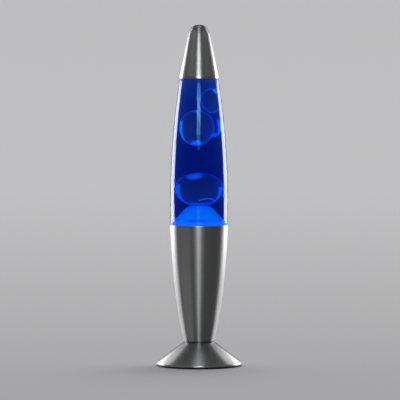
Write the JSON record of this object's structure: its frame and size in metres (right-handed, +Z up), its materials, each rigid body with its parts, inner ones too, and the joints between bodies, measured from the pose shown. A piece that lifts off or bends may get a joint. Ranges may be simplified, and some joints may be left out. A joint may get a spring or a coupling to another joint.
{
  "type": "lava lamp",
  "caption": "Table lamp with a glass bottle of blue liquid and wax that stands in a tapered aluminium base over a small reflector bulb, under a bullet-shaped cap.",
  "frame": {"origin": "centre of the foot's underside, on the lamp's axis", "axes": "+Z up along the lamp's axis, +Y to the back, where the cord gland is"},
  "size_m": [0.0864, 0.0864, 0.3428],
  "materials": {
    "aluminium": "satin",
    "black_plastic": "satin",
    "brass": "satin",
    "bulb_glass": "polished",
    "ceramic": "satin",
    "globe_glass": "polished",
    "lead_blue": "satin",
    "lead_brown": "satin",
    "liner": "matte",
    "liquid": "polished",
    "pad": "matte",
    "steel": "satin",
    "tungsten": "satin",
    "wax": "satin",
    "white_plastic": "satin"
  },
  "bodies": {
    "base": {"foot_shell": "aluminium", "foot_pad": "pad", "bottom_cover": "black_plastic", "cover_post_1": "steel", "cover_post_2": "steel", "cover_post_3": "steel", "cover_screw_1": "steel", "cover_screw_2": "steel", "cover_screw_3": "steel", "cord_gland": "black_plastic", "terminal_block": "white_plastic", "terminal_screw_1": "brass", "terminal_screw_2": "brass", "terminal_screw_3": "brass", "terminal_screw_4": "brass", "threaded_nipple": "steel", "washer_lower": "steel", "nut_lower": "steel", "washer_upper": "steel", "nut_upper": "steel", "base_shell": "aluminium", "seat_ledge": "steel", "seat_ring": "pad", "holder_cap": "black_plastic", "holder_insert": "ceramic", "holder_sleeve": "black_plastic", "holder_thread": "brass", "holder_contact": "brass", "holder_clamp_live": "brass", "holder_clamp_neutral": "brass", "lead_live": "lead_brown", "lead_neutral": "lead_blue"},
    "bulb_contact": {"bulb_tip": "steel"},
    "bulb": {"bulb_insulator": "black_plastic", "bulb_screw_shell": "brass", "bulb_glass": "bulb_glass", "bulb_stem": "bulb_glass", "bulb_filament": "tungsten"},
    "globe": {"globe_glass": "globe_glass", "liquid": "liquid", "wax_pool": "wax", "warming_coil": "steel", "bottle_crown": "steel", "crown_liner": "liner"},
    "wax_a": {"wax_blob_a": "wax"},
    "wax_b": {"wax_blob_b": "wax"},
    "wax_c": {"wax_blob_c": "wax"},
    "wax_d": {"wax_blob_d": "wax"},
    "top_cap": {"top_cap": "aluminium"}
  },
  "joints": [
    {"name": "globe_lift", "type": "slide", "parent": "base", "child": "globe", "axis": [0, 0, 1], "range_m": [0, 0.06]},
    {"name": "cap_lift", "type": "slide", "parent": "globe", "child": "top_cap", "axis": [0, 0, 1], "range_m": [0, 0.06]},
    {"name": "bulb_rise", "type": "slide", "parent": "base", "child": "bulb_contact", "axis": [0, 0, 1], "range_m": [0, 0.0142]},
    {"name": "bulb_turn", "type": "hinge", "parent": "bulb_contact", "child": "bulb", "pos_m": [0, 0, 0.05], "axis": [0, 0, 1], "range_deg": [0, 1800]},
    {"name": "wax_a_rise", "type": "slide", "parent": "globe", "child": "wax_a", "axis": [0, 0, 1], "range_m": [0, 0.014]},
    {"name": "wax_b_sink", "type": "slide", "parent": "globe", "child": "wax_b", "axis": [0, 0, 1], "range_m": [-0.012, 0]},
    {"name": "wax_c_sink", "type": "slide", "parent": "globe", "child": "wax_c", "axis": [0, 0, 1], "range_m": [-0.012, 0]},
    {"name": "wax_d_sink", "type": "slide", "parent": "globe", "child": "wax_d", "axis": [0, 0, 1], "range_m": [-0.012, 0]}
  ],
  "couplings": [
    {"joint": "bulb_rise", "follows": "bulb_turn", "m_per_rad": 0.00044882},
    {"joint": "wax_b_sink", "follows": "wax_a_rise", "ratio": -0.85714},
    {"joint": "wax_c_sink", "follows": "wax_a_rise", "ratio": -0.85714},
    {"joint": "wax_d_sink", "follows": "wax_a_rise", "ratio": -0.85714}
  ]
}
